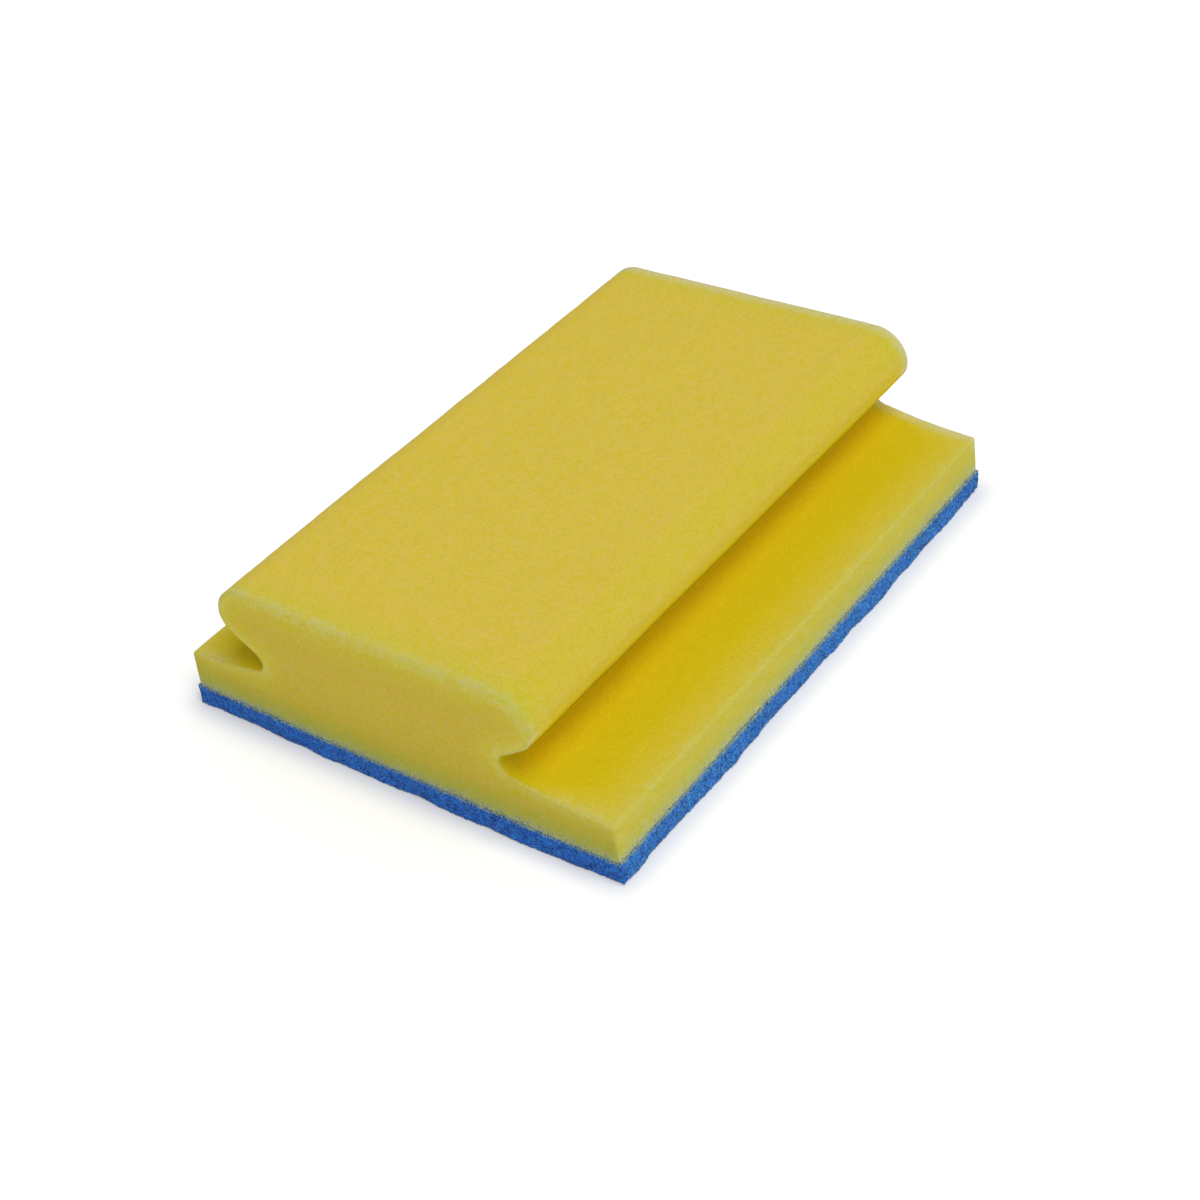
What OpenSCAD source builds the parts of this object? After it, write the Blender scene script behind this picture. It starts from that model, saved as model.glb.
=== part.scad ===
// Cleaning sponge with a grip: a block of fine foam, shaped like a mushroom in
// section so that fingers reach under both sides of its head, and a thin
// fibre scouring pad bonded under the whole base.
// X runs along the finger grooves, Y across them and Z up. The origin is the
// middle of the pad's underside.

/* [Overall] */
// Length of the foam along the finger grooves
length = 150; // [90:0.5:200]
// Width of the foam base across the grooves
base_width = 120; // [108:0.5:150]
// Height from the underside of the pad to the flat top
height = 40.6; // [36:0.1:55]

/* [Scouring pad] */
// Thickness of the fibre pad
pad_thickness = 5.7; // [3:0.1:8]
// How far the cut pad stands out past the foam all round
pad_margin = 0.2; // [0:0.1:2]
// Radius of the pad's cut corners in plan
pad_corner_r = 0.8; // [0.3:0.1:6]

/* [Grip head] */
// Width of the head at its widest
head_width = 86.8; // [80:0.2:94]
// How far the head stands off the middle of the base, as cut
head_shift = 1.4; // [-3:0.1:3]
// Radius that rounds the flat top into the side of the head
shoulder_r = 8.4; // [6:0.1:10]
// Radius of the lip, from the widest point round to the underside
lip_r = 5.4; // [2.5:0.1:6]

/* [Finger grooves] */
// Width of the waist that is left between the two grooves
waist_width = 67.4; // [56:0.2:72]
// Radius of the rounded inner end of each groove
groove_r = 2.9; // [1.5:0.1:3.5]
// Slope of the head's underside, in degrees
jaw_angle = 33; // [30:1:40]

/* [Base ledges] */
// Thickness of the foam at the outer edge of each ledge
ledge_edge_height = 9.9; // [6:0.1:11]
// Radius of the shallow hollow along each ledge
ledge_hollow_r = 130; // [90:5:300]
// Radius that rounds the outer edge of each ledge
ledge_edge_r = 0.8; // [0.3:0.1:2]

/* [Hidden] */
$fn = 96;

// How far a line or an arc runs into the arc that it should only touch, so that
// the two cross at a clean point
touch = 0.005;

// The lobe of the head: the shoulder and the lip share the widest height
widest_z = height - shoulder_r;
shoulder_y = head_width / 2 - shoulder_r;
lip_y = head_width / 2 - lip_r;

// The inner end of the groove, set so that the sloping underside of the head
// is tangent both to it and to the lip
jaw_along = [cos(jaw_angle), sin(jaw_angle)];
jaw_up = [-sin(jaw_angle), cos(jaw_angle)];
groove_y = waist_width / 2 + groove_r;
jaw_gap = (lip_y - groove_y) * sin(jaw_angle) + lip_r + groove_r - 2 * touch;
groove = [groove_y, widest_z - jaw_gap / cos(jaw_angle)];
jaw_in = groove + (groove_r - touch) * jaw_up - groove_r / 2 * jaw_along;
jaw_out = [lip_y, widest_z] - (lip_r - touch) * jaw_up;
ledge_edge_z = pad_thickness + ledge_edge_height;

// Centre of the ledge's hollow for a base that reaches this far from the
// head's middle: it passes the ledge's outer edge and is tangent to the groove
function hollow_centre(reach) =
    let (edge = [reach, ledge_edge_z])
    let (span = groove - edge)
    let (apart = norm(span))
    let (near_r = ledge_hollow_r - groove_r + touch)
    let (along = (ledge_hollow_r ^ 2 - near_r ^ 2 + apart ^ 2) / (2 * apart))
    let (rise = sqrt(ledge_hollow_r ^ 2 - along ^ 2))
    edge + along * span / apart + rise * [span[1], -span[0]] / apart;

// How far out the groove's inner end runs over into the ledge's hollow
function groove_foot(reach) =
    let (down = groove - hollow_centre(reach))
    groove_y + groove_r * down[0] / norm(down);

// Centre of the round on the ledge's outer edge, tangent to the hollow and to
// the side wall
function brim_centre(reach) =
    let (hollow = hollow_centre(reach))
    let (across = reach - ledge_edge_r - hollow[0])
    let (apart = ledge_hollow_r + ledge_edge_r - touch)
    [reach - ledge_edge_r, hollow[1] - sqrt(apart ^ 2 - across ^ 2)];

// One side of the head: a flat top, a rounded shoulder and a tighter lip
module head_half() {
    polygon([[0, jaw_in[1]], jaw_in, jaw_out, [lip_y, widest_z], [shoulder_y, widest_z],
        [shoulder_y, height], [0, height]]);
    translate([lip_y, widest_z]) circle(r = lip_r);
    intersection() {
        translate([shoulder_y, widest_z]) circle(r = shoulder_r);
        translate([0, widest_z]) square([head_width / 2, shoulder_r]);
    }
}

// One side of the waist, hollowed by the inner end of the groove
module waist_half(reach) {
    foot = groove_foot(reach);
    in_head = groove + 2 * groove_r * jaw_up;
    difference() {
        polygon([[0, pad_thickness], [foot, pad_thickness], [foot, groove[1]], groove, in_head,
            [0, in_head[1]]]);
        translate(groove) circle(r = groove_r);
    }
}

// One side of the base, hollowed along its ledge, with its outer edge rounded
module base_half(reach) {
    brim = brim_centre(reach);
    difference() {
        union() {
            polygon([[0, pad_thickness], [reach, pad_thickness], [reach, brim[1]], brim,
                [brim[0], groove[1]], [0, groove[1]]]);
            translate(brim) circle(r = ledge_edge_r);
        }
        translate(hollow_centre(reach)) circle(r = ledge_hollow_r, $fn = 720);
    }
}

// One side of the whole section, from the head's middle out to the base's edge
module half_section(reach) {
    head_half();
    waist_half(reach);
    base_half(reach);
}

// The section across the sponge, the same all the way along
module foam_section() {
    translate([head_shift, 0]) half_section(base_width / 2 - head_shift);
    translate([head_shift, 0]) mirror([1, 0]) half_section(base_width / 2 + head_shift);
}

// The foam block, cut in one piece
module foam_body() {
    color("gold")
        rotate([90, 0, 90])
            linear_extrude(height = length, center = true)
                foam_section();
}

// A rectangle in plan with rounded corners
module rounded_plan(size_x, size_y, r) {
    square([size_x - 2 * r, size_y], center = true);
    square([size_x, size_y - 2 * r], center = true);
    for (side_x = [-1, 1], side_y = [-1, 1])
        translate([side_x * (size_x / 2 - r), side_y * (size_y / 2 - r)])
            circle(r = r);
}

// The fibre pad, bonded under the whole of the foam
module scouring_pad() {
    color("royalblue")
        linear_extrude(height = pad_thickness)
            rounded_plan(length + 2 * pad_margin, base_width + 2 * pad_margin, pad_corner_r);
}

foam_body();
scouring_pad();
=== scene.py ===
import math
import random

import bmesh
import bpy
from mathutils import Matrix, Vector, bvhtree, kdtree, noise


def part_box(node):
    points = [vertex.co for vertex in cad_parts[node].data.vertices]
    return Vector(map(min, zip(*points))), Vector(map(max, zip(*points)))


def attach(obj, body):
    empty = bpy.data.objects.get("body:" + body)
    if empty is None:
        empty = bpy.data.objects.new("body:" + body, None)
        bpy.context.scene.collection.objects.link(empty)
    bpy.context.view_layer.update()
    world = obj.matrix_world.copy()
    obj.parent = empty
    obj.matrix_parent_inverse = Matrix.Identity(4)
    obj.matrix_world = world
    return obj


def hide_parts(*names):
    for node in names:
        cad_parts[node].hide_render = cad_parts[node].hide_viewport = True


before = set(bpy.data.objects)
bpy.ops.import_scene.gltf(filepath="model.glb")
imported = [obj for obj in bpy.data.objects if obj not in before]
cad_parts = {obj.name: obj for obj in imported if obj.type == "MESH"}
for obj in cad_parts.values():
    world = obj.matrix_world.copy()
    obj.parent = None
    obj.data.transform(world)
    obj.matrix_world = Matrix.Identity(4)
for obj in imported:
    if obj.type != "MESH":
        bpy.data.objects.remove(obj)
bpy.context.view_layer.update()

MM = 0.001
SEED = 20
rng = random.Random(SEED)

foam_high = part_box("foam_body")[1]
pad_low, pad_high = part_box("scouring_pad")
HALF_LENGTH = foam_high.x
HALF_WIDTH = foam_high.y
TOP_Z = foam_high.z
SEAM_Z = pad_high.z

# The foam's section, as the solid has it
HEAD_WIDTH = 86.8 * MM
HEAD_SHIFT = 1.4 * MM
SHOULDER_R = 8.4 * MM
LIP_R = 5.4 * MM
WAIST_WIDTH = 67.4 * MM
GROOVE_R = 2.9 * MM
JAW_ANGLE = math.radians(33)
LEDGE_EDGE_Z = SEAM_Z + 9.9 * MM
LEDGE_HOLLOW_R = 130 * MM
LEDGE_EDGE_R = 0.8 * MM
WIDEST_Z = TOP_Z - SHOULDER_R
SHOULDER_Y = HEAD_WIDTH / 2 - SHOULDER_R
LIP_Y = HEAD_WIDTH / 2 - LIP_R
GROOVE_Y = WAIST_WIDTH / 2 + GROOVE_R
GROOVE_Z = WIDEST_Z - (
    (LIP_Y - GROOVE_Y) * math.sin(JAW_ANGLE) + LIP_R + GROOVE_R
) / math.cos(JAW_ANGLE)

# The round on the foam's cut ends, the spacing of its mesh and the size of its pores
CUT_EDGE_R = 0.55 * MM
FOAM_GRID = 0.9 * MM
GRID_SNAP = 0.12 * MM
FOAM_CELL = 0.42 * MM

# Unevenness in layers: how far each layer rises and how wide its waves are. The foam's rise is
# in mm and the pad's is a share of its relief, and all widths are in mm
FOAM_SWELLS = ((0.16, 24), (0.09, 6), (0.05, 1.9))
FELT_SWELLS = ((0.35, 2.4), (0.5, 0.8))

# The sides of the real block wander from straight as it was cut: how far each is out of true
END_BOW = 0.5 * MM
LEFT_WALL_LEAN = 0.9 * MM
RIGHT_SIDE_TAPER = 0.6 * MM

# How enclosed a point is comes from looking out this many ways across the section, this far.
# Light that comes in at the ends reaches END_LIGHT, and right at an end a point counts for
# END_SHARE of what it does further in
OUTLOOKS = 96
OUTLOOK_REACH = 0.1
END_LIGHT = 8 * MM
END_SHARE = 0.55

# Points along half of a ledge's outer edge, from which the distance to that edge is told
HALF_STEPS = 110

# How ragged the bands of colour are along the cut edges and above the seam
RIM_RAGGED = 3 * MM
SEAM_RAGGED = 2.4 * MM

# Colours up the foam from the seam, each from its share of this height on: partly the foam's frayed
# tone, partly painted shade and blue light from the pad
SEAM_BAND = 7 * MM
SEAM_COLOURS = (
    (0.0, (192, 198, 150)), (0.10, (190, 194, 132)), (0.2, (185, 186, 108)),
    (0.34, (186, 184, 94)), (0.5, (189, 184, 84)), (1.0, (199, 189, 74)),
)

# Where the pad's lower edge is kinked: place along the side, and how far in from straight, in mm
NEAR_KINKS = (
    (-60, 0.1), (-52.5, -0.05), (-47.5, -0.5), (-45, -0.4), (-34, -0.85), (-28, -0.65), (-25, -0.45),
    (-22, -0.8), (-12.5, -0.8), (-8, -0.35), (-5, -0.2), (0, -0.7), (17, -0.6), (21, -0.9),
    (25, -0.7), (27.5, -0.25), (32, -0.6), (42, -0.05), (51, -0.2), (55, -0.05), (58, -0.4),
    (60, -0.3),
)
RIGHT_KINKS = (
    (-75, -0.1), (-70, -0.4), (-65, 0.25), (-54, 0.15), (-40, -0.3), (-37.5, -0.1), (-35, -0.6),
    (-30, 0.1), (-25, -0.05), (-22.5, 0.45), (-11, 0.35), (-6, 0.15), (2.5, 0.5), (7.5, 0.0),
    (15, 0.5), (24, -0.15), (30, 0.05), (37, 0.65), (42, 0.3), (48, 0.75), (60, 0.45), (72, 0.9),
    (75, 0.9),
)

# The pad's corners, the spacing of its mesh, and how far its matted fibres stand out
PAD_CORNER_R = 0.8 * MM
PAD_GRID = 0.75 * MM
SIDE_RELIEF = 0.36 * MM
UNDER_RELIEF = 0.55 * MM

# How the pad's hidden sides wander, how far its sides draw in under the foam, and how far the
# matted underside is lifted along its edge
WANDER = 0.6 * MM
WANDER_SIZE = 14 * MM
TOP_TUCK = 0.12 * MM
EDGE_LIFT = 0.25 * MM

# Loose strands and torn ends: how thick they are and how many
STRAND_R = 0.065 * MM
SIDE_STRANDS = 6000
TUFT_STRANDS = 1000
UNDER_STRANDS = 5200
TORN_R = 0.06 * MM
TORN_ENDS = 1600
TIP_SHARE = 0.4

# Strands below start within this share of the pad and stay this far inside it. The tips of
# tufts lean back over the foam, and those at the far end stay off the tapered right side
UNDER_SPREAD = 0.985
UNDER_MARGIN = 1.2 * MM
TUFT_LEAN = 0.18 * MM
FAR_MARGIN = 0.6 * MM

# Lengths of the strands, tufts and torn ends, in mm
SIDE_LENGTHS = (0.6, 2.0)
TUFT_LENGTHS = (0.8, 1.6)
UNDER_LENGTHS = (2.0, 6.0)
TORN_LENGTHS = (0.5, 1.2)

# Where the photograph was taken from, and the camera's azimuth, elevation and roll in degrees
CAMERA_PLACE = Vector((-293.1, -263.3, 303.5)) * MM
CAMERA_TURNS = (-47.95, 37.77, -9.64)
SENSOR_WIDTH = 36
FOCAL_LENGTH = 62.73

# The high softbox, the even light of the room, and the white floor with its faint glow
KEY_TOWARDS = (-0.13, -0.52, 1.0)
KEY_DISTANCE = 3.0
KEY_SIZE = 2.2
KEY_ENERGY = 57.2
ROOM_LIGHT = 0.5
FLOOR_SIZE = 3.0
FLOOR_WHITE = (0.92, 0.92, 0.92, 1)
# The glow is nil at the pad and full from GLOW_REACH out, which paints a deeper shadow on the floor
# beside the pad
GLOW_REACH = 7 * MM
GLOW_BESIDE = 0.16
GLOW_AWAY = 0.24

# A tint that leaves a colour as it is, and the room left in tests of where a point lies
PLAIN = (1, 1, 1, 1)
SLACK = 0.05 * MM
TINY = 0.01 * MM


# Camera

def make_camera():
    """The camera that took the photograph: place, aim, roll about the lens and focal length."""
    data = bpy.data.cameras.new("photo_camera")
    camera = bpy.data.objects.new("photo_camera", data)
    bpy.context.scene.collection.objects.link(camera)
    azimuth, elevation, roll = (math.radians(d) for d in CAMERA_TURNS)
    turn = (
        Matrix.Rotation(azimuth, 4, "Z")
        @ Matrix.Rotation(math.pi / 2 - elevation, 4, "X")
        @ Matrix.Rotation(roll, 4, "Z")
    )
    camera.matrix_world = Matrix.Translation(CAMERA_PLACE) @ turn
    data.sensor_width = SENSOR_WIDTH
    data.lens = FOCAL_LENGTH
    data.clip_start = 0.02
    data.clip_end = 20
    bpy.context.scene.camera = camera


# Node helpers

def linear(red, green, blue):
    """A colour given as 0 to 255 in sRGB, as the linear values that shaders take."""
    def one(c):
        c /= 255
        return c / 12.92 if c <= 0.04045 else ((c + 0.055) / 1.055) ** 2.4
    return (one(red), one(green), one(blue), 1)


def node(tree, kind, links=None, **settings):
    """Adds a node, sets its properties, and links or fills its inputs."""
    made = tree.nodes.new(kind)
    for name, value in settings.items():
        setattr(made, name, value)
    for name, value in (links or {}).items():
        socket = made.inputs[name]
        if isinstance(value, bpy.types.NodeSocket):
            tree.links.new(value, socket)
        else:
            socket.default_value = value
    return made


def maths(tree, operation, a, b=0.0, clamp=False):
    made = node(tree, "ShaderNodeMath", {0: a, 1: b}, operation=operation, use_clamp=clamp)
    return made.outputs[0]


def ramp(tree, value, low, high, to_low=0.0, to_high=1.0):
    """Maps value from low..high to to_low..to_high along a smooth step."""
    made = node(
        tree, "ShaderNodeMapRange",
        {"Value": value, "From Min": low, "From Max": high, "To Min": to_low, "To Max": to_high},
        interpolation_type="SMOOTHSTEP",
    )
    return made.outputs["Result"]


def mix(tree, share, a, b):
    """Goes from colour a to colour b as share goes from 0 to 1."""
    made = node(tree, "ShaderNodeMix", {0: share, 6: a, 7: b}, data_type="RGBA")
    return made.outputs[2]


def times(tree, a, b):
    """Multiplies two colours."""
    made = node(tree, "ShaderNodeMix", {0: 1.0, 6: a, 7: b}, data_type="RGBA", blend_type="MULTIPLY")
    return made.outputs[2]


def product(tree, first, *others):
    """Multiplies several shares together."""
    for other in others:
        first = maths(tree, "MULTIPLY", first, other)
    return first


def tinted(tree, colour, share, tint):
    """Multiplies a colour by a tint, as far as share goes."""
    return times(tree, colour, mix(tree, share, PLAIN, tint))


def bands(tree, value, stops):
    """Colours laid along value, each from its place between 0 and 1 on."""
    made = node(tree, "ShaderNodeValToRGB", {"Fac": value})
    elements = made.color_ramp.elements
    for i, (start, colour) in enumerate(stops):
        stop = elements[i] if i < 2 else elements.new(start)
        stop.position = start
        stop.color = linear(*colour)
    return made.outputs["Color"]


def attribute(tree, name):
    """A value that make_foam keeps at each point of its mesh."""
    return node(tree, "ShaderNodeAttribute", attribute_name=name).outputs["Fac"]


def place(tree):
    """Where the shaded point is, in the frame that all pieces share."""
    return node(tree, "ShaderNodeTexCoord").outputs["Object"]


def spots(tree, vector, size, detail=2.0, rough=0.5):
    """Noise whose blotches are about this size, from 0 to 1 with most of it near 0.5."""
    made = node(
        tree, "ShaderNodeTexNoise",
        {"Vector": vector, "Scale": 1 / size, "Detail": detail, "Roughness": rough},
    )
    return made.outputs["Fac"]


def new_group(name, inputs, outputs):
    tree = bpy.data.node_groups.new(name, "ShaderNodeTree")
    for title, kind in inputs:
        tree.interface.new_socket(title, in_out="INPUT", socket_type=kind)
    for title, kind in outputs:
        tree.interface.new_socket(title, in_out="OUTPUT", socket_type=kind)
    start = tree.nodes.new("NodeGroupInput")
    end = tree.nodes.new("NodeGroupOutput")
    return tree, start, end


def make_fibre_web():
    """Curled fibres laid over each other: a mask of the upper strands, and their height."""
    tree, start, end = new_group(
        "fibre_web",
        [("Vector", "NodeSocketVector"), ("Size", "NodeSocketFloat")],
        [("Strands", "NodeSocketFloat"), ("Clumps", "NodeSocketFloat"), ("Height", "NodeSocketFloat")],
    )
    size = start.outputs["Size"]
    scale = maths(tree, "DIVIDE", 1.0, size)
    layers = []
    turns_and_finenesses = ((0.3, 1.0), (1.5, 0.8), (2.6, 1.25))
    for turn, fineness in turns_and_finenesses:
        turned = node(
            tree, "ShaderNodeMapping",
            {"Vector": start.outputs["Vector"], "Rotation": (turn, turn * 0.7, turn * 1.9),
             "Location": (turn, turn, turn), "Scale": (1.0, 0.45, 1.0)},
        ).outputs[0]
        curl = node(
            tree, "ShaderNodeTexNoise",
            {"Vector": turned, "Scale": maths(tree, "MULTIPLY", scale, fineness), "Detail": 1.0,
             "Distortion": 0.6},
        ).outputs["Fac"]
        ridge = maths(tree, "ABSOLUTE", maths(tree, "SUBTRACT", curl, 0.5))
        layers.append(ramp(tree, ridge, 0.055, 0.0))
    strands = maths(tree, "MAXIMUM", layers[0], maths(tree, "MULTIPLY", layers[1], 0.8))
    strands = maths(tree, "MAXIMUM", strands, maths(tree, "MULTIPLY", layers[2], 0.6))
    clumps = node(
        tree, "ShaderNodeTexNoise",
        {"Vector": start.outputs["Vector"], "Scale": maths(tree, "MULTIPLY", scale, 0.45),
         "Detail": 3.0, "Roughness": 0.6},
    ).outputs["Fac"]
    tree.links.new(strands, end.inputs["Strands"])
    tree.links.new(clumps, end.inputs["Clumps"])
    tree.links.new(maths(tree, "ADD", strands, clumps), end.inputs["Height"])
    return tree


def make_pores():
    """Fine open foam: raised struts round small sunken cells, with soft blotches over them."""
    tree, start, end = new_group(
        "open_pores",
        [("Vector", "NodeSocketVector"), ("Cell", "NodeSocketFloat")],
        [("Grain", "NodeSocketFloat"), ("Height", "NodeSocketFloat")],
    )
    scale = maths(tree, "DIVIDE", 1.0, start.outputs["Cell"])
    cells = node(
        tree, "ShaderNodeTexVoronoi",
        {"Vector": start.outputs["Vector"], "Scale": scale, "Randomness": 1.0},
        feature="F1",
    ).outputs["Distance"]
    cells = ramp(tree, cells, 0.15, 0.75)
    grain = node(
        tree, "ShaderNodeTexNoise",
        {"Vector": start.outputs["Vector"], "Scale": maths(tree, "MULTIPLY", scale, 0.5),
         "Detail": 2.0, "Roughness": 0.6},
    ).outputs["Fac"]
    tree.links.new(grain, end.inputs["Grain"])
    height = maths(tree, "ADD", cells, maths(tree, "MULTIPLY", grain, 0.8))
    tree.links.new(height, end.inputs["Height"])
    return tree


def make_seam_specks():
    """Fine specks of the other layer's colour, crowded at the seam and thinning out away from it."""
    tree, start, end = new_group(
        "seam_specks",
        [("Vector", "NodeSocketVector"), ("Distance", "NodeSocketFloat"), ("Reach", "NodeSocketFloat")],
        [("Specks", "NodeSocketFloat")],
    )
    fine = spots(tree, start.outputs["Vector"], 0.42 * MM, 2.0, 0.65)
    share = maths(tree, "DIVIDE", start.outputs["Distance"], start.outputs["Reach"])
    crowd = ramp(tree, share, 1.0, 0.0, 0.0, 0.24)
    specks = ramp(tree, maths(tree, "ADD", fine, crowd), 0.7, 0.78)
    tree.links.new(specks, end.inputs["Specks"])
    return tree


def seam_specks(tree, at, distance, reach):
    """Places the node group of seam specks, for a layer that they reach this far into."""
    made = node(tree, "ShaderNodeGroup", node_tree=bpy.data.node_groups["seam_specks"])
    tree.links.new(at, made.inputs["Vector"])
    tree.links.new(distance, made.inputs["Distance"])
    made.inputs["Reach"].default_value = reach
    return made.outputs["Specks"]


def new_material(name):
    material = bpy.data.materials.new(name)
    material.use_nodes = True
    tree = material.node_tree
    return material, tree, tree.nodes["Principled BSDF"]


def foam_rims(tree, colour, ragged, marks):
    """Greener foam near the cut edges, lighter on the end faces as painted light, and a paler band
    right along them: a painted glow of light through the thin edges.
    """
    at_end = marks["end_face"]
    rim = maths(tree, "ADD", marks["rim_distance"], product(tree, ragged, RIM_RAGGED))
    open_air = ramp(tree, marks["enclosed"], 0.35, 0.05)
    green = product(tree, ramp(tree, rim, 10 * MM, 1.5 * MM, 0.0, 0.75), open_air)
    green_side = linear(199, 187, 64)
    # On the end faces the green is lighter than the open face: painted light for the lamp light these
    # faces lack
    end_green_painted_light = linear(212, 196, 64)
    colour = mix(tree, green, colour, mix(tree, at_end, green_side, end_green_painted_light))
    patches = ramp(tree, spots(tree, marks["at"], 4.5 * MM), 0.3, 0.6, 0.45, 1.0)
    # The pale band along the cut edges is painted light, a glow for light coming through the thin foam
    # there
    edge = product(tree, ramp(tree, rim, 3.4 * MM, 0.4 * MM, 0.0, 0.9), open_air, patches)
    aside = maths(tree, "ABSOLUTE", marks["Y"])
    on_brim = ramp(tree, aside, HALF_WIDTH - 5 * MM, HALF_WIDTH - 2 * MM)
    head_painted_glow = linear(194, 187, 102)
    brim_painted_glow = linear(198, 189, 84)
    end_painted_glow = linear(216, 206, 98)
    pale = mix(tree, at_end, mix(tree, on_brim, head_painted_glow, brim_painted_glow), end_painted_glow)
    return mix(tree, edge, colour, pale)


def foam_lobes(tree, colour, marks):
    """The rounded sides of the head: painted shade that deepens the right shoulder, and painted light
    on the left shoulder and on the right lip.
    """
    right_shoulder_painted_shade = (0.9, 0.94, 0.72, 1)
    left_shoulder_painted_light = (1.06, 1.06, 1.3, 1)
    lip_painted_glow = (1.2, 1.22, 2.4, 1)
    aside = maths(tree, "ABSOLUTE", maths(tree, "SUBTRACT", marks["Y"], HEAD_SHIFT))
    lobe = product(
        tree, ramp(tree, aside, SHOULDER_Y, SHOULDER_Y + 4 * MM),
        ramp(tree, marks["Z"], 20 * MM, 24 * MM), maths(tree, "SUBTRACT", 1.0, marks["end_face"]),
    )
    right = ramp(tree, marks["Y"], 0.0, -10 * MM)
    shoulder = product(tree, lobe, ramp(tree, marks["Z"], WIDEST_Z + 1 * MM, WIDEST_Z + 5 * MM))
    colour = tinted(tree, colour, shoulder, mix(tree, right, left_shoulder_painted_light, right_shoulder_painted_shade))
    lip = ramp(tree, marks["Z"], WIDEST_Z + 0.6 * MM, WIDEST_Z - 1.4 * MM)
    return tinted(tree, colour, product(tree, lobe, right, lip), lip_painted_glow)


def foam_far_end(tree, colour, ragged, marks):
    """A pale band beside the far end, painted as a glow of light through the foam, and a slightly
    darker line along the other edges.
    """
    far_painted_glow = linear(204, 198, 156)
    darker_line = (0.93, 0.935, 0.96, 1)
    from_far = maths(tree, "SUBTRACT", HALF_LENGTH, marks["X"])
    from_far = maths(tree, "ADD", from_far, product(tree, ragged, RIM_RAGGED))
    pale = product(
        tree, ramp(tree, from_far, 4.2 * MM, 0.0, 0.0, 0.6),
        ramp(tree, marks["enclosed"], 0.8, 0.2, 0.3, 1.0), ramp(tree, marks["end_face"], 1.0, 0.0),
    )
    colour = mix(tree, pale, colour, far_painted_glow)
    at_rim = ramp(tree, marks["rim_distance"], 1.3 * MM, 0.2 * MM)
    at_rim = product(tree, at_rim, ramp(tree, from_far, 2 * MM, 6 * MM))
    return tinted(tree, colour, at_rim, darker_line)


def foam_seam(tree, colour, ragged, height, marks):
    """The foam turns greener, then greyer, down to the pad: partly its own frayed tone, partly painted
    shade and blue light from the pad. Painted shade also darkens the end faces towards the bottom and
    deepens their seam band.
    """
    at_end = marks["end_face"]
    end_painted_shade_low = linear(192, 172, 58)
    end_seam_painted_shade = (0.88, 0.88, 0.68, 1)
    above = maths(tree, "ADD", height, product(tree, ragged, SEAM_RAGGED))
    low = product(tree, ramp(tree, above, 20 * MM, 2 * MM, 0.0, 0.7), at_end)
    colour = mix(tree, low, colour, end_painted_shade_low)
    seam = bands(tree, maths(tree, "DIVIDE", above, SEAM_BAND, clamp=True), SEAM_COLOURS)
    seam = tinted(tree, seam, at_end, end_seam_painted_shade)
    return mix(tree, ramp(tree, above, 10 * MM, 3.5 * MM), colour, seam)


def foam_grain(tree, colour, pores, at):
    """Fine changes of hue, of how yellow and of how light the foam is."""
    greener = (0.98, 1.014, 1.0, 1)
    redder = (1.02, 0.986, 1.0, 1)
    yellower = (0.98, 0.985, 0.6, 1)
    whiter = (1.02, 1.015, 1.36, 1)
    warm = ramp(tree, spots(tree, at, 1.3 * MM, 4.0, 0.65), 0.38, 0.62)
    colour = times(tree, colour, mix(tree, warm, greener, redder))
    mottle = maths(
        tree, "ADD", product(tree, pores.outputs["Grain"], 0.65),
        product(tree, spots(tree, at, 2.2 * MM, 3.0, 0.6), 0.35),
    )
    mottle = ramp(tree, mottle, 0.36, 0.64)
    colour = times(tree, colour, mix(tree, mottle, yellower, whiter))
    grain = ramp(tree, spots(tree, at, 0.45 * MM, 2.0, 0.7), 0.3, 0.7, 0.95, 1.05)
    return times(tree, colour, grain)


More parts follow.
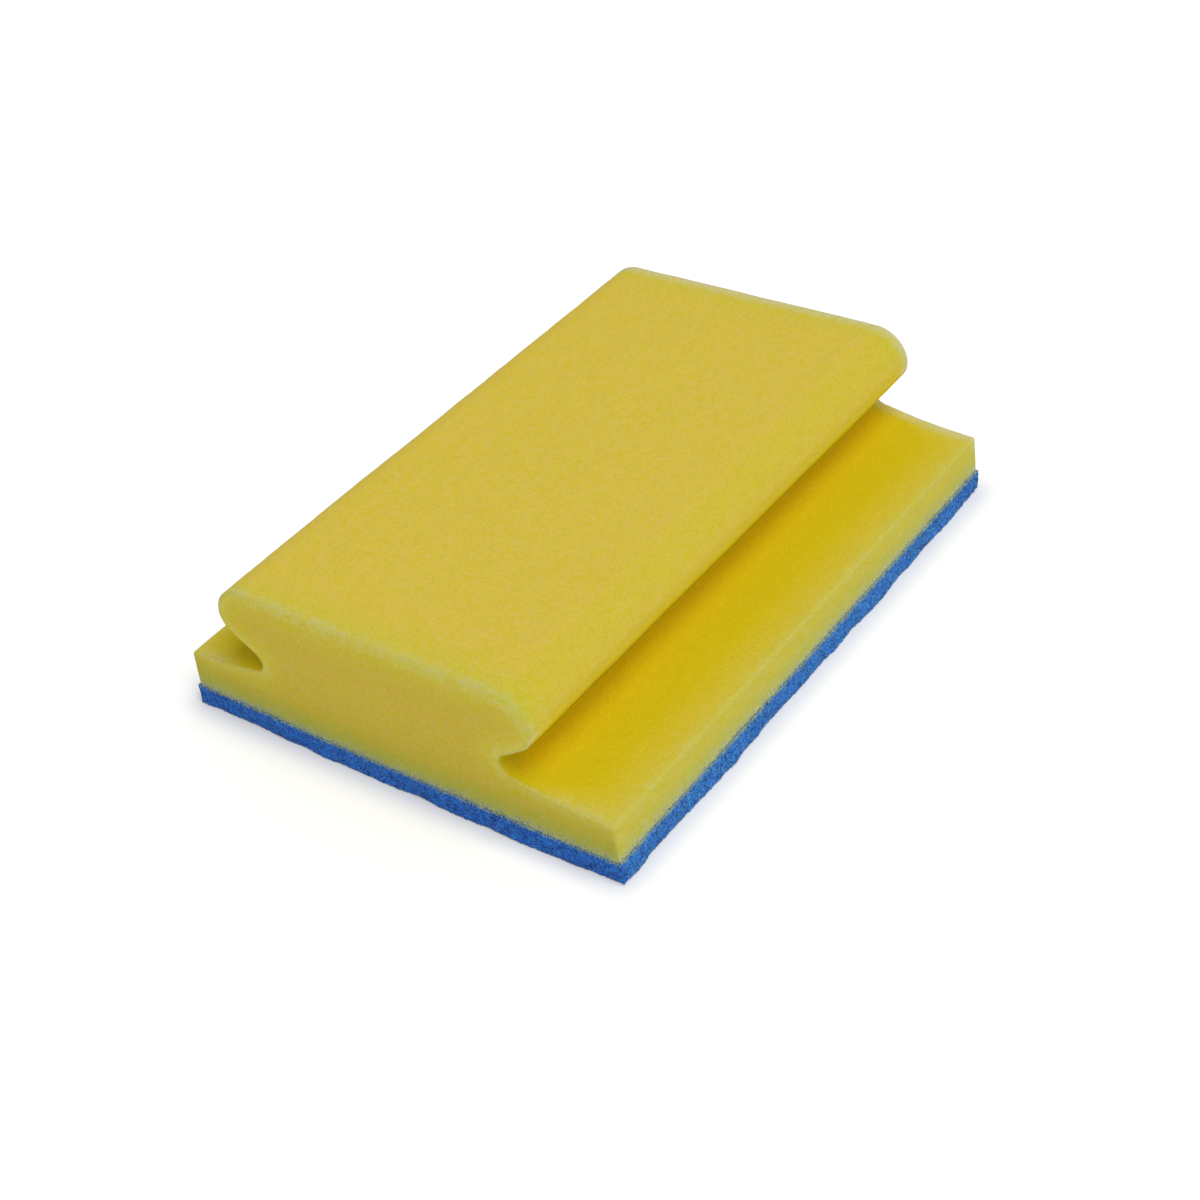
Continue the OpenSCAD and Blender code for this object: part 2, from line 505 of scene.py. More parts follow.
def make_foam_material():
    """Yellow foam: deeper in the grooves, and tinted at edges, lobes, far end and seam, mostly as
    painted light and shade.
    """
    material, tree, skin = new_material("yellow_foam")
    at = place(tree)
    pores = node(tree, "ShaderNodeGroup", node_tree=bpy.data.node_groups["open_pores"])
    tree.links.new(at, pores.inputs["Vector"])
    pores.inputs["Cell"].default_value = FOAM_CELL
    axes = node(tree, "ShaderNodeSeparateXYZ", {"Vector": at}).outputs
    marks = {name: attribute(tree, name) for name in ("enclosed", "end_face", "rim_distance")}
    marks.update(at=at, X=axes["X"], Y=axes["Y"], Z=axes["Z"])
    ragged = maths(tree, "SUBTRACT", spots(tree, at, 1.1 * MM, 3.0), 0.5)
    height = maths(tree, "SUBTRACT", axes["Z"], SEAM_Z)

    open_face = linear(209, 185, 69)
    # Painted light and shade: ledges and grooves get a deeper, more saturated yellow for their shade
    # and for light bounced between the foam's faces and through it
    sheltered_painted_shade_and_bounce = linear(201, 180, 13)
    groove_painted_glow_and_bounce = linear(216, 184, 4)
    pad_blue = linear(78, 114, 154)
    colour = mix(tree, ramp(tree, marks["enclosed"], 0.0, 0.3), open_face, sheltered_painted_shade_and_bounce)
    colour = mix(tree, ramp(tree, marks["enclosed"], 0.3, 0.7), colour, groove_painted_glow_and_bounce)
    colour = foam_rims(tree, colour, ragged, marks)
    colour = foam_lobes(tree, colour, marks)
    colour = foam_far_end(tree, colour, ragged, marks)
    colour = foam_seam(tree, colour, ragged, height, marks)
    colour = foam_grain(tree, colour, pores, at)
    specks = seam_specks(tree, at, height, 3.6 * MM)
    colour = mix(tree, product(tree, specks, 0.66), colour, pad_blue)
    tree.links.new(colour, skin.inputs["Base Color"])
    skin.inputs["Roughness"].default_value = 0.95
    skin.inputs["Specular IOR Level"].default_value = 0.12
    bump = node(
        tree, "ShaderNodeBump",
        {"Height": pores.outputs["Height"], "Strength": 0.35, "Distance": 0.1 * MM},
    )
    tree.links.new(bump.outputs["Normal"], skin.inputs["Normal"])
    return material


def make_torn_material():
    """Torn ends of foam, greyer and greener than its cut faces."""
    material, tree, skin = new_material("torn_foam")
    at = place(tree)
    tone = ramp(tree, spots(tree, at, 1.2 * MM), 0.35, 0.65)
    colour = mix(tree, tone, linear(146, 166, 122), linear(196, 200, 134))
    tree.links.new(colour, skin.inputs["Base Color"])
    skin.inputs["Roughness"].default_value = 0.95
    skin.inputs["Specular IOR Level"].default_value = 0.1
    return material


def near_end_painted_shade(tree, at, colour):
    """Paints shade on the pad's near end as a deeper blue, since the high light only grazes it."""
    x = node(tree, "ShaderNodeSeparateXYZ", {"Vector": at}).outputs["X"]
    end = ramp(tree, x, -HALF_LENGTH + 1.6 * MM, -HALF_LENGTH + 0.8 * MM)
    deeper = (0.55, 0.73, 0.95, 1)
    return tinted(tree, colour, end, deeper)


def with_flecks(tree, at, colour):
    """Adds the small pale flecks where a fibre's tip catches the light."""
    pale_blue = linear(118, 176, 220)
    flecks = ramp(tree, spots(tree, at, 0.5 * MM, 2.0, 0.6), 0.56, 0.66, 0.0, 0.55)
    return mix(tree, flecks, colour, pale_blue)


def with_foam_specks(tree, at, colour):
    """Adds the specks of foam that cling to the top of the pad's sides."""
    foam_green = linear(160, 176, 128)
    height = node(tree, "ShaderNodeSeparateXYZ", {"Vector": at}).outputs["Z"]
    specks = seam_specks(tree, at, maths(tree, "SUBTRACT", SEAM_Z, height), 1.7 * MM)
    return mix(tree, product(tree, specks, 0.85), colour, foam_green)


def make_pad_material():
    """Matted blue fibres: dark hollows, whose dark is painted shade, lighter strands over them, and
    flecks.
    """
    material, tree, skin = new_material("blue_fibre")
    at = place(tree)
    web = node(tree, "ShaderNodeGroup", node_tree=bpy.data.node_groups["fibre_web"])
    tree.links.new(at, web.inputs["Vector"])
    web.inputs["Size"].default_value = 0.8 * MM
    # The dark of the hollows is painted shade
    dark = linear(4, 54, 134)
    middle = linear(18, 102, 196)
    light = linear(80, 162, 230)
    colour = mix(tree, ramp(tree, web.outputs["Clumps"], 0.4, 0.6), dark, middle)
    colour = mix(tree, product(tree, web.outputs["Strands"], 0.8), colour, light)
    colour = with_flecks(tree, at, colour)
    colour = with_foam_specks(tree, at, near_end_painted_shade(tree, at, colour))
    tree.links.new(colour, skin.inputs["Base Color"])
    skin.inputs["Roughness"].default_value = 0.85
    skin.inputs["Specular IOR Level"].default_value = 0.25
    bump = node(
        tree, "ShaderNodeBump",
        {"Height": web.outputs["Height"], "Strength": 0.6, "Distance": 0.2 * MM},
    )
    tree.links.new(bump.outputs["Normal"], skin.inputs["Normal"])
    return material


def make_strand_material():
    """Single fibres: the same blue, in lighter and darker stretches."""
    material, tree, skin = new_material("blue_strand")
    at = place(tree)
    tone = ramp(tree, spots(tree, at, 0.6 * MM, 3.0, 0.7), 0.38, 0.66)
    colour = mix(tree, tone, linear(4, 72, 164), linear(84, 166, 238))
    colour = with_flecks(tree, at, colour)
    colour = with_foam_specks(tree, at, near_end_painted_shade(tree, at, colour))
    tree.links.new(colour, skin.inputs["Base Color"])
    skin.inputs["Roughness"].default_value = 0.6
    skin.inputs["Specular IOR Level"].default_value = 0.35
    return material


# Foam

def hollow_centre(reach):
    """Centre of a ledge's shallow hollow, tangent to the groove and through the ledge's edge."""
    edge = Vector((reach, LEDGE_EDGE_Z))
    span = Vector((GROOVE_Y, GROOVE_Z)) - edge
    near = LEDGE_HOLLOW_R - GROOVE_R
    along = (LEDGE_HOLLOW_R ** 2 - near ** 2 + span.length_squared) / (2 * span.length)
    rise = math.sqrt(LEDGE_HOLLOW_R ** 2 - along ** 2)
    way = span.normalized()
    return edge + along * way + rise * Vector((way.y, -way.x))


def brim_centre(reach, hollow):
    """Centre of the round on a ledge's edge, tangent to the hollow and to the side wall."""
    across = reach - LEDGE_EDGE_R - hollow.x
    drop = math.sqrt((LEDGE_HOLLOW_R + LEDGE_EDGE_R) ** 2 - across ** 2)
    return Vector((reach - LEDGE_EDGE_R, hollow.y - drop))


def pen_to(bm, at, y, z):
    """Draws a straight stroke of the section."""
    made = bmesh.ops.extrude_vert_indiv(bm, verts=[at])["verts"][0]
    made.co = (at.co.x, y, z)
    return made


def pen_round(bm, at, centre, angle):
    """Draws an arc of the section about centre, anticlockwise for a positive angle."""
    radius = math.hypot(at.co.y - centre[0], at.co.z - centre[1])
    steps = max(3, round(abs(angle) * radius / FOAM_GRID))
    made = bmesh.ops.spin(
        bm, geom=[at], cent=(at.co.x, *centre), axis=(1, 0, 0), dvec=(0, 0, 0), angle=angle,
        steps=steps, use_merge=False, use_duplicate=False,
    )
    return next(v for v in made["geom_last"] if isinstance(v, bmesh.types.BMVert))


def draw_side(bm, at, side):
    """Draws one side of the section, from the middle of the top down to the seam."""
    reach = HALF_WIDTH - side * HEAD_SHIFT
    hollow = hollow_centre(reach)
    brim = brim_centre(reach, hollow)
    foot_turn = math.atan2(GROOVE_Z - hollow.y, GROOVE_Y - hollow.x)
    brim_turn = math.atan2(brim.y - hollow.y, brim.x - hollow.x)

    def spot(y, z):
        return (HEAD_SHIFT + side * y, z)

    at = pen_to(bm, at, *spot(SHOULDER_Y, TOP_Z))
    at = pen_round(bm, at, spot(SHOULDER_Y, WIDEST_Z), -side * math.pi / 2)
    at = pen_round(bm, at, spot(LIP_Y, WIDEST_Z), -side * (math.pi / 2 - JAW_ANGLE))
    at = pen_to(
        bm, at,
        *spot(GROOVE_Y - GROOVE_R * math.sin(JAW_ANGLE), GROOVE_Z + GROOVE_R * math.cos(JAW_ANGLE)),
    )
    sweep = (foot_turn - (math.pi / 2 + JAW_ANGLE)) % (2 * math.pi)
    at = pen_round(bm, at, spot(GROOVE_Y, GROOVE_Z), side * sweep)
    at = pen_round(bm, at, spot(*hollow), side * (brim_turn - foot_turn))
    at = pen_round(bm, at, spot(*brim), -side * (brim_turn + math.pi))
    return pen_to(bm, at, *spot(reach, SEAM_Z))


def cut_by_planes(bm, axis, low, high, step):
    """Cuts every face at even planes, so that flat faces can carry the foam's unevenness."""
    count = round((high - low) / step)
    normal = [float(i == axis) for i in range(3)]
    for i in range(1, count):
        point = [0.0, 0.0, 0.0]
        point[axis] = low + (high - low) * i / count
        bmesh.ops.bisect_plane(
            bm, geom=bm.verts[:] + bm.edges[:] + bm.faces[:], dist=GRID_SNAP,
            plane_co=point, plane_no=normal,
        )


def far_end_of_foam(bm):
    """The far end face, cut to a grid, with its rounded rim."""
    at = bmesh.ops.create_vert(bm, co=(HALF_LENGTH - CUT_EDGE_R, HEAD_SHIFT, TOP_Z))["vert"][0]
    ends = [draw_side(bm, at, side) for side in (1, -1)]
    bmesh.ops.contextual_create(bm, geom=ends)
    face = bmesh.ops.contextual_create(bm, geom=bm.edges[:])["faces"][0]
    if face.normal.x < 0:
        face.normal_flip()
    halfway = CUT_EDGE_R * math.sin(math.pi / 4)
    for thickness, depth in ((CUT_EDGE_R - halfway, halfway), (halfway, CUT_EDGE_R - halfway)):
        bmesh.ops.inset_region(
            bm, faces=[face], thickness=thickness, depth=depth, use_boundary=True,
            use_even_offset=True,
        )
    cut_by_planes(bm, 1, -HALF_WIDTH, HALF_WIDTH, FOAM_GRID)
    cut_by_planes(bm, 2, SEAM_Z, TOP_Z, FOAM_GRID)


def sweep_foam(bm):
    """Draws the far end's rim back along the whole length and closes it with the near end."""
    rim = [e for e in bm.edges if len(e.link_faces) == 1]
    near = bmesh.ops.duplicate(bm, geom=bm.verts[:] + bm.edges[:] + bm.faces[:])["geom"]
    near_verts = [g for g in near if isinstance(g, bmesh.types.BMVert)]
    bmesh.ops.scale(bm, vec=(-1, 1, 1), verts=near_verts)
    straight = 2 * (HALF_LENGTH - CUT_EDGE_R)
    steps = round(straight / FOAM_GRID)
    for _ in range(steps):
        made = bmesh.ops.extrude_edge_only(bm, edges=rim)["geom"]
        rim = [g for g in made if isinstance(g, bmesh.types.BMEdge) and g.is_boundary]
        moved = [g for g in made if isinstance(g, bmesh.types.BMVert)]
        bmesh.ops.translate(bm, vec=(-straight / steps, 0, 0), verts=moved)
    bmesh.ops.remove_doubles(bm, verts=bm.verts[:], dist=0.005 * MM)
    bmesh.ops.recalc_face_normals(bm, faces=bm.faces[:])


def square_foot(bm):
    """Lets the end faces run straight down to the pad, where their rim isn't rounded."""
    for v in bm.verts:
        at_foot = v.co.z < SEAM_Z + CUT_EDGE_R / 2 and abs(v.co.y) < HALF_WIDTH - CUT_EDGE_R / 2
        if at_foot and HALF_LENGTH - abs(v.co.x) < CUT_EDGE_R + TINY:
            v.co.x = math.copysign(HALF_LENGTH, v.co.x)


def rim_points():
    """Points along the outer edges of the two ledges."""
    points = []
    for y in (-HALF_WIDTH, HALF_WIDTH):
        for i in range(-HALF_STEPS, HALF_STEPS + 1):
            points.append(Vector((HALF_LENGTH * i / HALF_STEPS, y, LEDGE_EDGE_Z)))
    return points


def mark_rims(bm):
    """Keeps at each point how far the nearest cut edge is, and how far it is on an end face."""
    layer = bm.verts.layers.float.new("rim_distance")
    end_layer = bm.verts.layers.float.new("end_face")
    points = rim_points()
    for v in bm.verts:
        from_end = HALF_LENGTH - abs(v.co.x)
        if from_end < SLACK:
            v[end_layer] = 1.0
        elif from_end < CUT_EDGE_R / 2:
            v[end_layer] = 0.3
        rounded = SLACK < from_end < CUT_EDGE_R - SLACK
        if rounded and v.co.z > SEAM_Z + CUT_EDGE_R:
            points.append(v.co.copy())
    tree = kdtree.KDTree(len(points))
    for i, point in enumerate(points):
        tree.insert(point, i)
    tree.balance()
    for v in bm.verts:
        v[layer] = tree.find(v.co)[2]


def mark_enclosed(bm):
    """Keeps at each point how much of its outlook the foam itself takes up, as in the grooves.

    The flat ends have none of it, and their rounded edges run from none up to what is beside them.
    """
    layer = bm.verts.layers.float.new("enclosed")
    bm.normal_update()
    surface = bvhtree.BVHTree.FromBMesh(bm)
    seen = {}
    rounded = []
    for v in bm.verts:
        from_end = HALF_LENGTH - abs(v.co.x)
        if from_end < CUT_EDGE_R - SLACK:
            rounded.append(v)
            continue
        key = (round(v.co.y / MM, 2), round(v.co.z / MM, 2))
        if key not in seen:
            outward = math.atan2(v.normal.z, v.normal.y)
            start = Vector((0, v.co.y, v.co.z)) + SLACK * Vector((0, v.normal.y, v.normal.z))
            hidden = 0.0
            for i in range(OUTLOOKS):
                turn = math.pi * ((i + 0.5) / OUTLOOKS - 0.5)
                way = Vector((0, math.cos(outward + turn), math.sin(outward + turn)))
                if surface.ray_cast(start, way, OUTLOOK_REACH)[0] is not None:
                    hidden += math.cos(turn)
            seen[key] = hidden / (OUTLOOKS * 2 / math.pi)
        v[layer] = seen[key] * (END_SHARE + (1 - END_SHARE) * min(1.0, from_end / END_LIGHT))
    shares = list(seen.values())
    near_section = kdtree.KDTree(len(seen))
    for i, (y, z) in enumerate(seen):
        near_section.insert((0, y * MM, z * MM), i)
    near_section.balance()
    for v in rounded:
        from_end = HALF_LENGTH - abs(v.co.x)
        if from_end > SLACK:
            beside = near_section.find((0, v.co.y, v.co.z))[1]
            v[layer] = END_SHARE * from_end / CUT_EDGE_R * shares[beside]


def soft_noise(at, size):
    """Smooth unevenness with waves about this wide, from about -1 to 1."""
    return noise.noise(at / size)


def layered(at, swells):
    """Unevenness in several layers, coarse to fine."""
    return sum(rise * soft_noise(at, size * MM) for rise, size in swells)


def out_of_true(at):
    """Moves a point of either block as the real one was cut: bowed near end, tapered right side."""
    near = max(0.0, -at.x / HALF_LENGTH)
    left = max(0.0, at.y / HALF_WIDTH)
    right = max(0.0, -at.y / HALF_WIDTH)
    along = (at.x + HALF_LENGTH) / (2 * HALF_LENGTH)
    bow = -END_BOW * (1 - (at.y / HALF_WIDTH) ** 2) * near ** 8
    taper = RIGHT_SIDE_TAPER * along * right ** 8
    lean = -LEFT_WALL_LEAN * left ** 8 * min(1.0, max(0.0, (at.z - SEAM_Z) / (LEDGE_EDGE_Z - SEAM_Z)))
    return Vector((bow, taper + lean, 0))


def roughen_foam(bm):
    """Gives the foam its cut shape, its slow unevenness and its small pits and swells."""
    bm.normal_update()
    moves = []
    for v in bm.verts:
        swell = layered(v.co, FOAM_SWELLS) * MM
        moves.append(swell * v.normal + out_of_true(v.co))
    for v, move in zip(bm.verts, moves):
        seated = v.co.z < SEAM_Z + TINY
        v.co += move
        if seated:
            v.co.z = SEAM_Z


def finished(bm, name, material):
    """Makes a piece of the drawn mesh, in the frame that all pieces share."""
    mesh = bpy.data.meshes.new(name)
    bm.to_mesh(mesh)
    bm.free()
    mesh.shade_smooth()
    mesh.materials.append(material)
    piece = bpy.data.objects.new(name, mesh)
    bpy.context.scene.collection.objects.link(piece)
    return piece


def make_foam(material):
    """The foam block: its far end, drawn back along the whole length, then marked and roughened."""
    bm = bmesh.new()
    far_end_of_foam(bm)
    sweep_foam(bm)
    square_foot(bm)
    mark_rims(bm)
    mark_enclosed(bm)
    roughen_foam(bm)
    piece = finished(bm, "cut_foam", material)
    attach(piece, "root")
    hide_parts("foam_body")
    return piece


# Pad

def kink(knots, at):
    """How far in from straight the pad's lower edge is, between its kinks."""
    for (start, first), (end, last) in zip(knots, knots[1:]):
        if at <= end * MM:
            share = max(0.0, (at / MM - start) / (end - start))
            return (first + share * (last - first)) * MM
    return knots[-1][1] * MM


def felt(at):
    """Height of the matted fibres between their hollows and their tufts, from about -0.5 to 0.5."""
    return layered(at, FELT_SWELLS)


def side_relief(at):
    """How far the pad's side stands out at a point: least at its cut lower edge and at the seam."""
    up = min(1.0, max(0.0, at.z / SEAM_Z))
    held = 1 - abs(2 * up - 1) ** 3
    return felt(at) * SIDE_RELIEF * (0.35 + 0.65 * held) - TOP_TUCK * up ** 4


def hidden_wander(at, low):
    """How far the pad's two hidden sides stand out of straight at their lower edge."""
    return soft_noise(at + Vector((0, 0, 1)), WANDER_SIZE) * WANDER * low


def shape_pad(bm):
    """Rounds the corners, kinks and bows the sides, and gives every face its matted relief."""
    bm.normal_update()
    centre = Vector((pad_high.x - PAD_CORNER_R, pad_high.y - PAD_CORNER_R, 0))
    moves = []
    for v in bm.verts:
        move = Vector()
        x, y, z = v.co
        out = Vector((abs(x), abs(y), 0)) - centre
        if out.x > 0 and out.y > 0 and out.length > PAD_CORNER_R:
            back = out * (PAD_CORNER_R / out.length - 1)
            move += Vector((math.copysign(back.x, x), math.copysign(back.y, y), 0))
        low = 1 - z / SEAM_Z
        near = max(0.0, -x / pad_high.x) ** 12
        right = max(0.0, -y / pad_high.y) ** 12
        hidden = max(x / pad_high.x, y / pad_high.y, 0.0) ** 12
        true = out_of_true(v.co)
        move.x += near * (kink(NEAR_KINKS, y) * low + (1 - low) * true.x)
        move.y += right * (kink(RIGHT_KINKS, x) * low + (1 - low) * true.y)
        side = Vector((v.normal.x, v.normal.y, 0))
        move += side * (hidden_wander(v.co, low) * hidden + side_relief(v.co))
        if z < TINY:
            edge = max(abs(x) / pad_high.x, abs(y) / pad_high.y) ** 40
            move.z = UNDER_RELIEF * max(0.0, 0.5 + felt(v.co)) + edge * EDGE_LIFT
        elif z < SEAM_Z - TINY:
            move.z = 0.12 * MM * soft_noise(v.co, 1.1 * MM)
        moves.append(move)
    for v, move in zip(bm.verts, moves):
        v.co += move


def make_pad(material):
    """The pad: a fine grid below, walls drawn up from it, and a plain top that the foam covers."""
    bm = bmesh.new()
    size = pad_high - pad_low
    cells_x = round(size.x / PAD_GRID)
    cells_y = round(size.y / PAD_GRID)
    bmesh.ops.create_grid(bm, x_segments=cells_x, y_segments=cells_y, size=0.5)
    bmesh.ops.scale(bm, vec=(size.x, size.y, 1), verts=bm.verts[:])
    steps = round(SEAM_Z / PAD_GRID)
    for _ in range(steps):
        rim = [e for e in bm.edges if e.is_boundary]
        made = bmesh.ops.extrude_edge_only(bm, edges=rim)["geom"]
        moved = [g for g in made if isinstance(g, bmesh.types.BMVert)]
        bmesh.ops.translate(bm, vec=(0, 0, SEAM_Z / steps), verts=moved)
    bm.normal_update()
    wall = {e for f in bm.faces if abs(f.normal.z) < 0.5 for e in f.edges}
    bmesh.ops.subdivide_edges(bm, edges=list(wall), cuts=1, use_grid_fill=True)
    rim = [e for e in bm.edges if e.is_boundary]
    made = bmesh.ops.extrude_edge_only(bm, edges=rim)["geom"]
    moved = [g for g in made if isinstance(g, bmesh.types.BMVert)]
    bmesh.ops.scale(bm, vec=(0.97, 0.97, 1), verts=moved)
    bmesh.ops.contextual_create(bm, geom=[e for e in bm.edges if e.is_boundary])
    bmesh.ops.recalc_face_normals(bm, faces=bm.faces[:])
    shape_pad(bm)
    piece = finished(bm, "fibre_pad", material)
    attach(piece, "root")
    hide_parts("scouring_pad")
    return piece


# Loose strands

def strand_piece(name, paths, radius, material):
    """Draws each path as a thin tube with fine tips, all in one piece."""
    curve = bpy.data.curves.new(name, "CURVE")
    curve.dimensions = "3D"
    curve.bevel_depth = radius
    curve.bevel_resolution = 0
    curve.use_fill_caps = True
    for path in paths:
        spline = curve.splines.new("POLY")
        spline.points.add(len(path) - 1)
        spline.points.foreach_set("co", [c for point in path for c in (*point, 1.0)])
        for tip in (0, -1):
            spline.points[tip].radius = TIP_SHARE
    drawn = bpy.data.objects.new(name + "_drawn", curve)
    bpy.context.scene.collection.objects.link(drawn)
    bpy.context.view_layer.update()
    seen = drawn.evaluated_get(bpy.context.evaluated_depsgraph_get())
    mesh = bpy.data.meshes.new_from_object(seen)
    bpy.data.objects.remove(drawn)
    mesh.materials.clear()
    mesh.materials.append(material)
    mesh.shade_smooth()
    piece = bpy.data.objects.new(name, mesh)
    bpy.context.scene.collection.objects.link(piece)
    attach(piece, "root")
    return piece


def around_pad():
    """A random place at the foot of the pad's four sides, with the ways along and out of the side."""
    length = pad_high.x - PAD_CORNER_R
    width = pad_high.y - PAD_CORNER_R
    pick = rng.uniform(0, 4 * (length + width))
    if pick < 4 * length:
        side = 1 if pick < 2 * length else -1
        at = Vector((pick % (2 * length) - length, side * pad_high.y, 0))
        return at, Vector((1, 0, 0)), Vector((0, side, 0))
    pick -= 4 * length
    side = 1 if pick < 2 * width else -1
    at = Vector((side * pad_high.x, pick % (2 * width) - width, 0))
    return at, Vector((0, 1, 0)), Vector((side, 0, 0))


def side_of_pad(at, out):
    """Moves a point on the straight side of the pad onto its kinked and bowed one."""
    low = 1 - min(1.0, max(0.0, at.z / SEAM_Z))
    true = out_of_true(at)
    moved = at.copy()
    if out.x < -0.5:
        moved.x += kink(NEAR_KINKS, at.y) * low + (1 - low) * true.x
    elif out.y < -0.5:
        moved.y += kink(RIGHT_KINKS, at.x) * low + (1 - low) * true.y
    else:
        moved += out * hidden_wander(at, low)
        moved.y = max(moved.y, RIGHT_SIDE_TAPER + FAR_MARGIN - pad_high.y)
    return moved


def curled(start, way, turn_axis, length, curl, steps=4):
    """A path that sets out along way and keeps turning a little, one way then the other."""
    path = [start]
    heading = way.normalized()
    for _ in range(steps):
        heading = (Matrix.Rotation(rng.gauss(0, curl), 3, turn_axis) @ heading).normalized()
        path.append(path[-1] + heading * length / steps)
    return path


def make_side_strands(material):
    """Fibres that lie in the pad's sides, and short tufts of them that stand up over the seam."""
    paths = []
    for i in range(SIDE_STRANDS + TUFT_STRANDS):
        tuft = i >= SIDE_STRANDS
        at, along, out = around_pad()
        if tuft:
            at.z = SEAM_Z - rng.uniform(0.4, 1.3) * MM
            angle = math.pi / 2 + rng.gauss(0, 0.4)
            length = rng.uniform(*TUFT_LENGTHS) * MM
            top = SEAM_Z + rng.uniform(-0.4, 0.45) * MM
        else:
            at.z = rng.uniform(0.3 * MM, SEAM_Z - 0.1 * MM)
            angle = rng.uniform(0, 2 * math.pi)
            length = rng.uniform(*SIDE_LENGTHS) * MM
            top = SEAM_Z - rng.uniform(0.1, 0.6) * MM
        way = along * math.cos(angle) + Vector((0, 0, 1)) * math.sin(angle)
        stand = rng.uniform(-0.05, 0.11) * MM
        placed = []
        for j, point in enumerate(curled(at, way, out, length, 0.25 if tuft else 0.5, steps=3)):
            point.x = min(max(point.x, -pad_high.x), pad_high.x)
            point.y = min(max(point.y, -pad_high.y), pad_high.y)
            point.z = min(max(point.z, 2 * STRAND_R), top)
            lift = stand * min(1.0, point.z / (1.2 * MM)) - (0.1 * MM if j == 0 else 0.0)
            if point.z > SEAM_Z:
                lift = -TUFT_LEAN
            placed.append(side_of_pad(point, out) + out * (lift + side_relief(point)))
        paths.append(placed)
    return strand_piece("side_strands", paths, STRAND_R, material)


def make_under_strands(material):
    """Longer fibres that lie along the matted underside."""
    paths = []
    reach = UNDER_SPREAD * pad_high
    for _ in range(UNDER_STRANDS):
        at = Vector((rng.uniform(-1, 1) * reach.x, rng.uniform(-1, 1) * reach.y, 0))
        angle = rng.uniform(0, 2 * math.pi)
        way = Vector((math.cos(angle), math.sin(angle), 0))
        path = curled(at, way, Vector((0, 0, 1)), rng.uniform(*UNDER_LENGTHS) * MM, 0.6)
        depth = rng.uniform(0.0, 0.3) * MM
        placed = []
        for point in path:
            x = min(max(point.x, UNDER_MARGIN - pad_high.x), pad_high.x - UNDER_MARGIN)
            y = min(max(point.y, UNDER_MARGIN - pad_high.y), pad_high.y - UNDER_MARGIN)
            z = STRAND_R + max(0.0, depth + felt(point) * UNDER_RELIEF * 0.5)
            placed.append(Vector((x, y, z)))
        paths.append(placed)
    return strand_piece("underside_strands", paths, STRAND_R, material)


def make_torn_edge(material):
    """Short torn ends of foam that hang over the top of the pad's sides."""
    paths = []
    for _ in range(TORN_ENDS):
        at, along, out = around_pad()
        at.z = SEAM_Z + rng.uniform(-0.1, 0.7) * MM
        way = Vector((0, 0, -1)) + along * rng.gauss(0, 0.9)
        placed = []
        for point in curled(at, way, out, rng.uniform(*TORN_LENGTHS) * MM, 0.3, steps=3):
            lifts = (-0.2, -0.08) if point.z > SEAM_Z else (-0.08, 0.05)
            lift = rng.uniform(*lifts) * MM
            placed.append(side_of_pad(point, out) + out * lift)
        paths.append(placed)
    return strand_piece("torn_foam_edge", paths, TORN_R, material)


# Floor and light

def floor_glow(tree):
    """The floor's glow for the camera: nil at the pad, which paints a deeper shadow beside it, full
    from GLOW_REACH out, and growing again far from it.
    """
    at = place(tree)
    away = node(tree, "ShaderNodeVectorMath", {0: at}, operation="LENGTH").outputs["Value"]
    outwards = at
    for operation, other in (
        ("ABSOLUTE", (0, 0, 0)), ("SUBTRACT", (HALF_LENGTH, HALF_WIDTH, 0)), ("MAXIMUM", (0, 0, 0)),
    ):
        step = node(tree, "ShaderNodeVectorMath", {0: outwards, 1: other}, operation=operation)
        outwards = step.outputs["Vector"]
    beside = node(tree, "ShaderNodeVectorMath", {0: outwards}, operation="LENGTH").outputs["Value"]
    glow_beside_painted_shadow = ramp(tree, beside, 0.0, GLOW_REACH, 0.0, GLOW_BESIDE)
    return maths(tree, "ADD", glow_beside_painted_shadow, ramp(tree, away, 0.15, 0.6, 0.0, GLOW_AWAY))


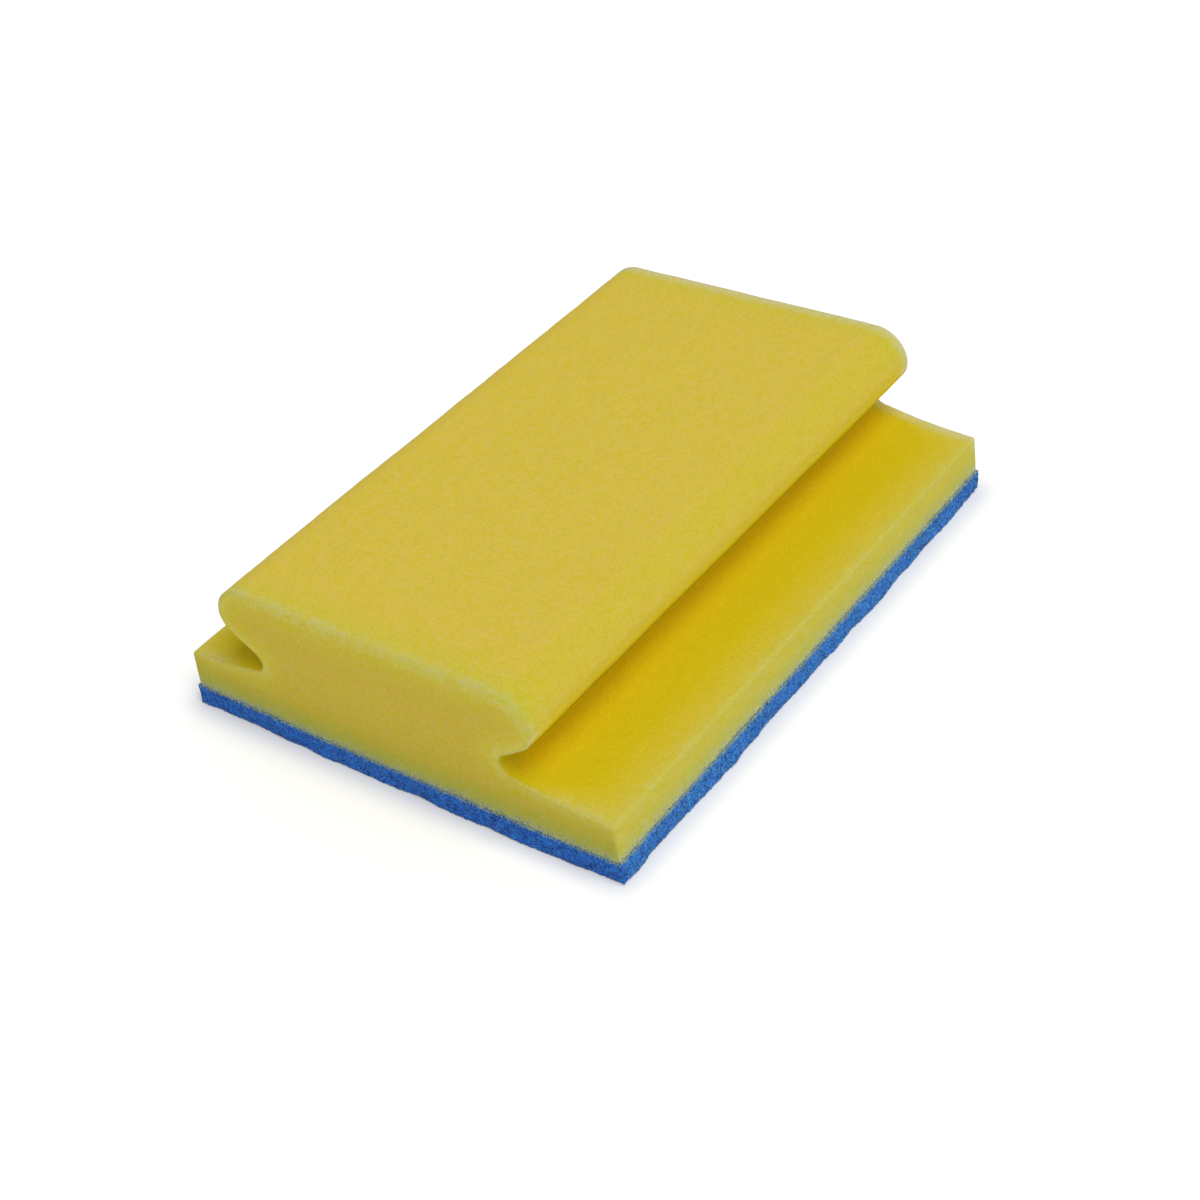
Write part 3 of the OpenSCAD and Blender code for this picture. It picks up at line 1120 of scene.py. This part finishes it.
def make_floor():
    """A wide white floor that keeps the sponge's shadow."""
    bm = bmesh.new()
    bmesh.ops.create_grid(bm, x_segments=1, y_segments=1, size=FLOOR_SIZE)
    mesh = bpy.data.meshes.new("floor")
    bm.to_mesh(mesh)
    bm.free()
    floor = bpy.data.objects.new("floor", mesh)
    bpy.context.scene.collection.objects.link(floor)
    material, tree, skin = new_material("white_floor")
    skin.inputs["Base Color"].default_value = FLOOR_WHITE
    skin.inputs["Roughness"].default_value = 1.0
    skin.inputs["Specular IOR Level"].default_value = 0.0
    seen = node(tree, "ShaderNodeLightPath").outputs["Is Camera Ray"]
    tree.links.new(product(tree, seen, floor_glow(tree)), skin.inputs["Emission Strength"])
    skin.inputs["Emission Color"].default_value = PLAIN
    mesh.materials.append(material)


def make_softbox():
    """The one lamp: a soft round light high over the sponge, a little to its right."""
    light = bpy.data.lights.new("key_softbox", "AREA")
    light.shape = "ELLIPSE"
    light.size = KEY_SIZE
    light.size_y = KEY_SIZE
    light.energy = KEY_ENERGY
    lamp = bpy.data.objects.new("key_softbox", light)
    bpy.context.scene.collection.objects.link(lamp)
    towards = Vector(KEY_TOWARDS).normalized()
    lamp.location = towards * KEY_DISTANCE
    lamp.rotation_mode = "QUATERNION"
    lamp.rotation_quaternion = Vector((0, 0, 1)).rotation_difference(towards)


def make_room_light():
    """Even white light from all round, at full white where the camera sees it."""
    world = bpy.data.worlds.new("studio")
    bpy.context.scene.world = world
    world.use_nodes = True
    tree = world.node_tree
    background = tree.nodes["Background"]
    background.inputs["Color"].default_value = PLAIN
    seen = node(tree, "ShaderNodeLightPath").outputs["Is Camera Ray"]
    strength = ramp(tree, seen, 0.0, 1.0, ROOM_LIGHT, 1.0)
    tree.links.new(strength, background.inputs["Strength"])


bpy.context.scene.view_settings.view_transform = "Standard"
make_camera()
make_room_light()
make_softbox()
make_floor()
make_fibre_web()
make_pores()
make_seam_specks()
make_foam(make_foam_material())
make_pad(make_pad_material())
strand_material = make_strand_material()
make_side_strands(strand_material)
make_under_strands(strand_material)
make_torn_edge(make_torn_material())
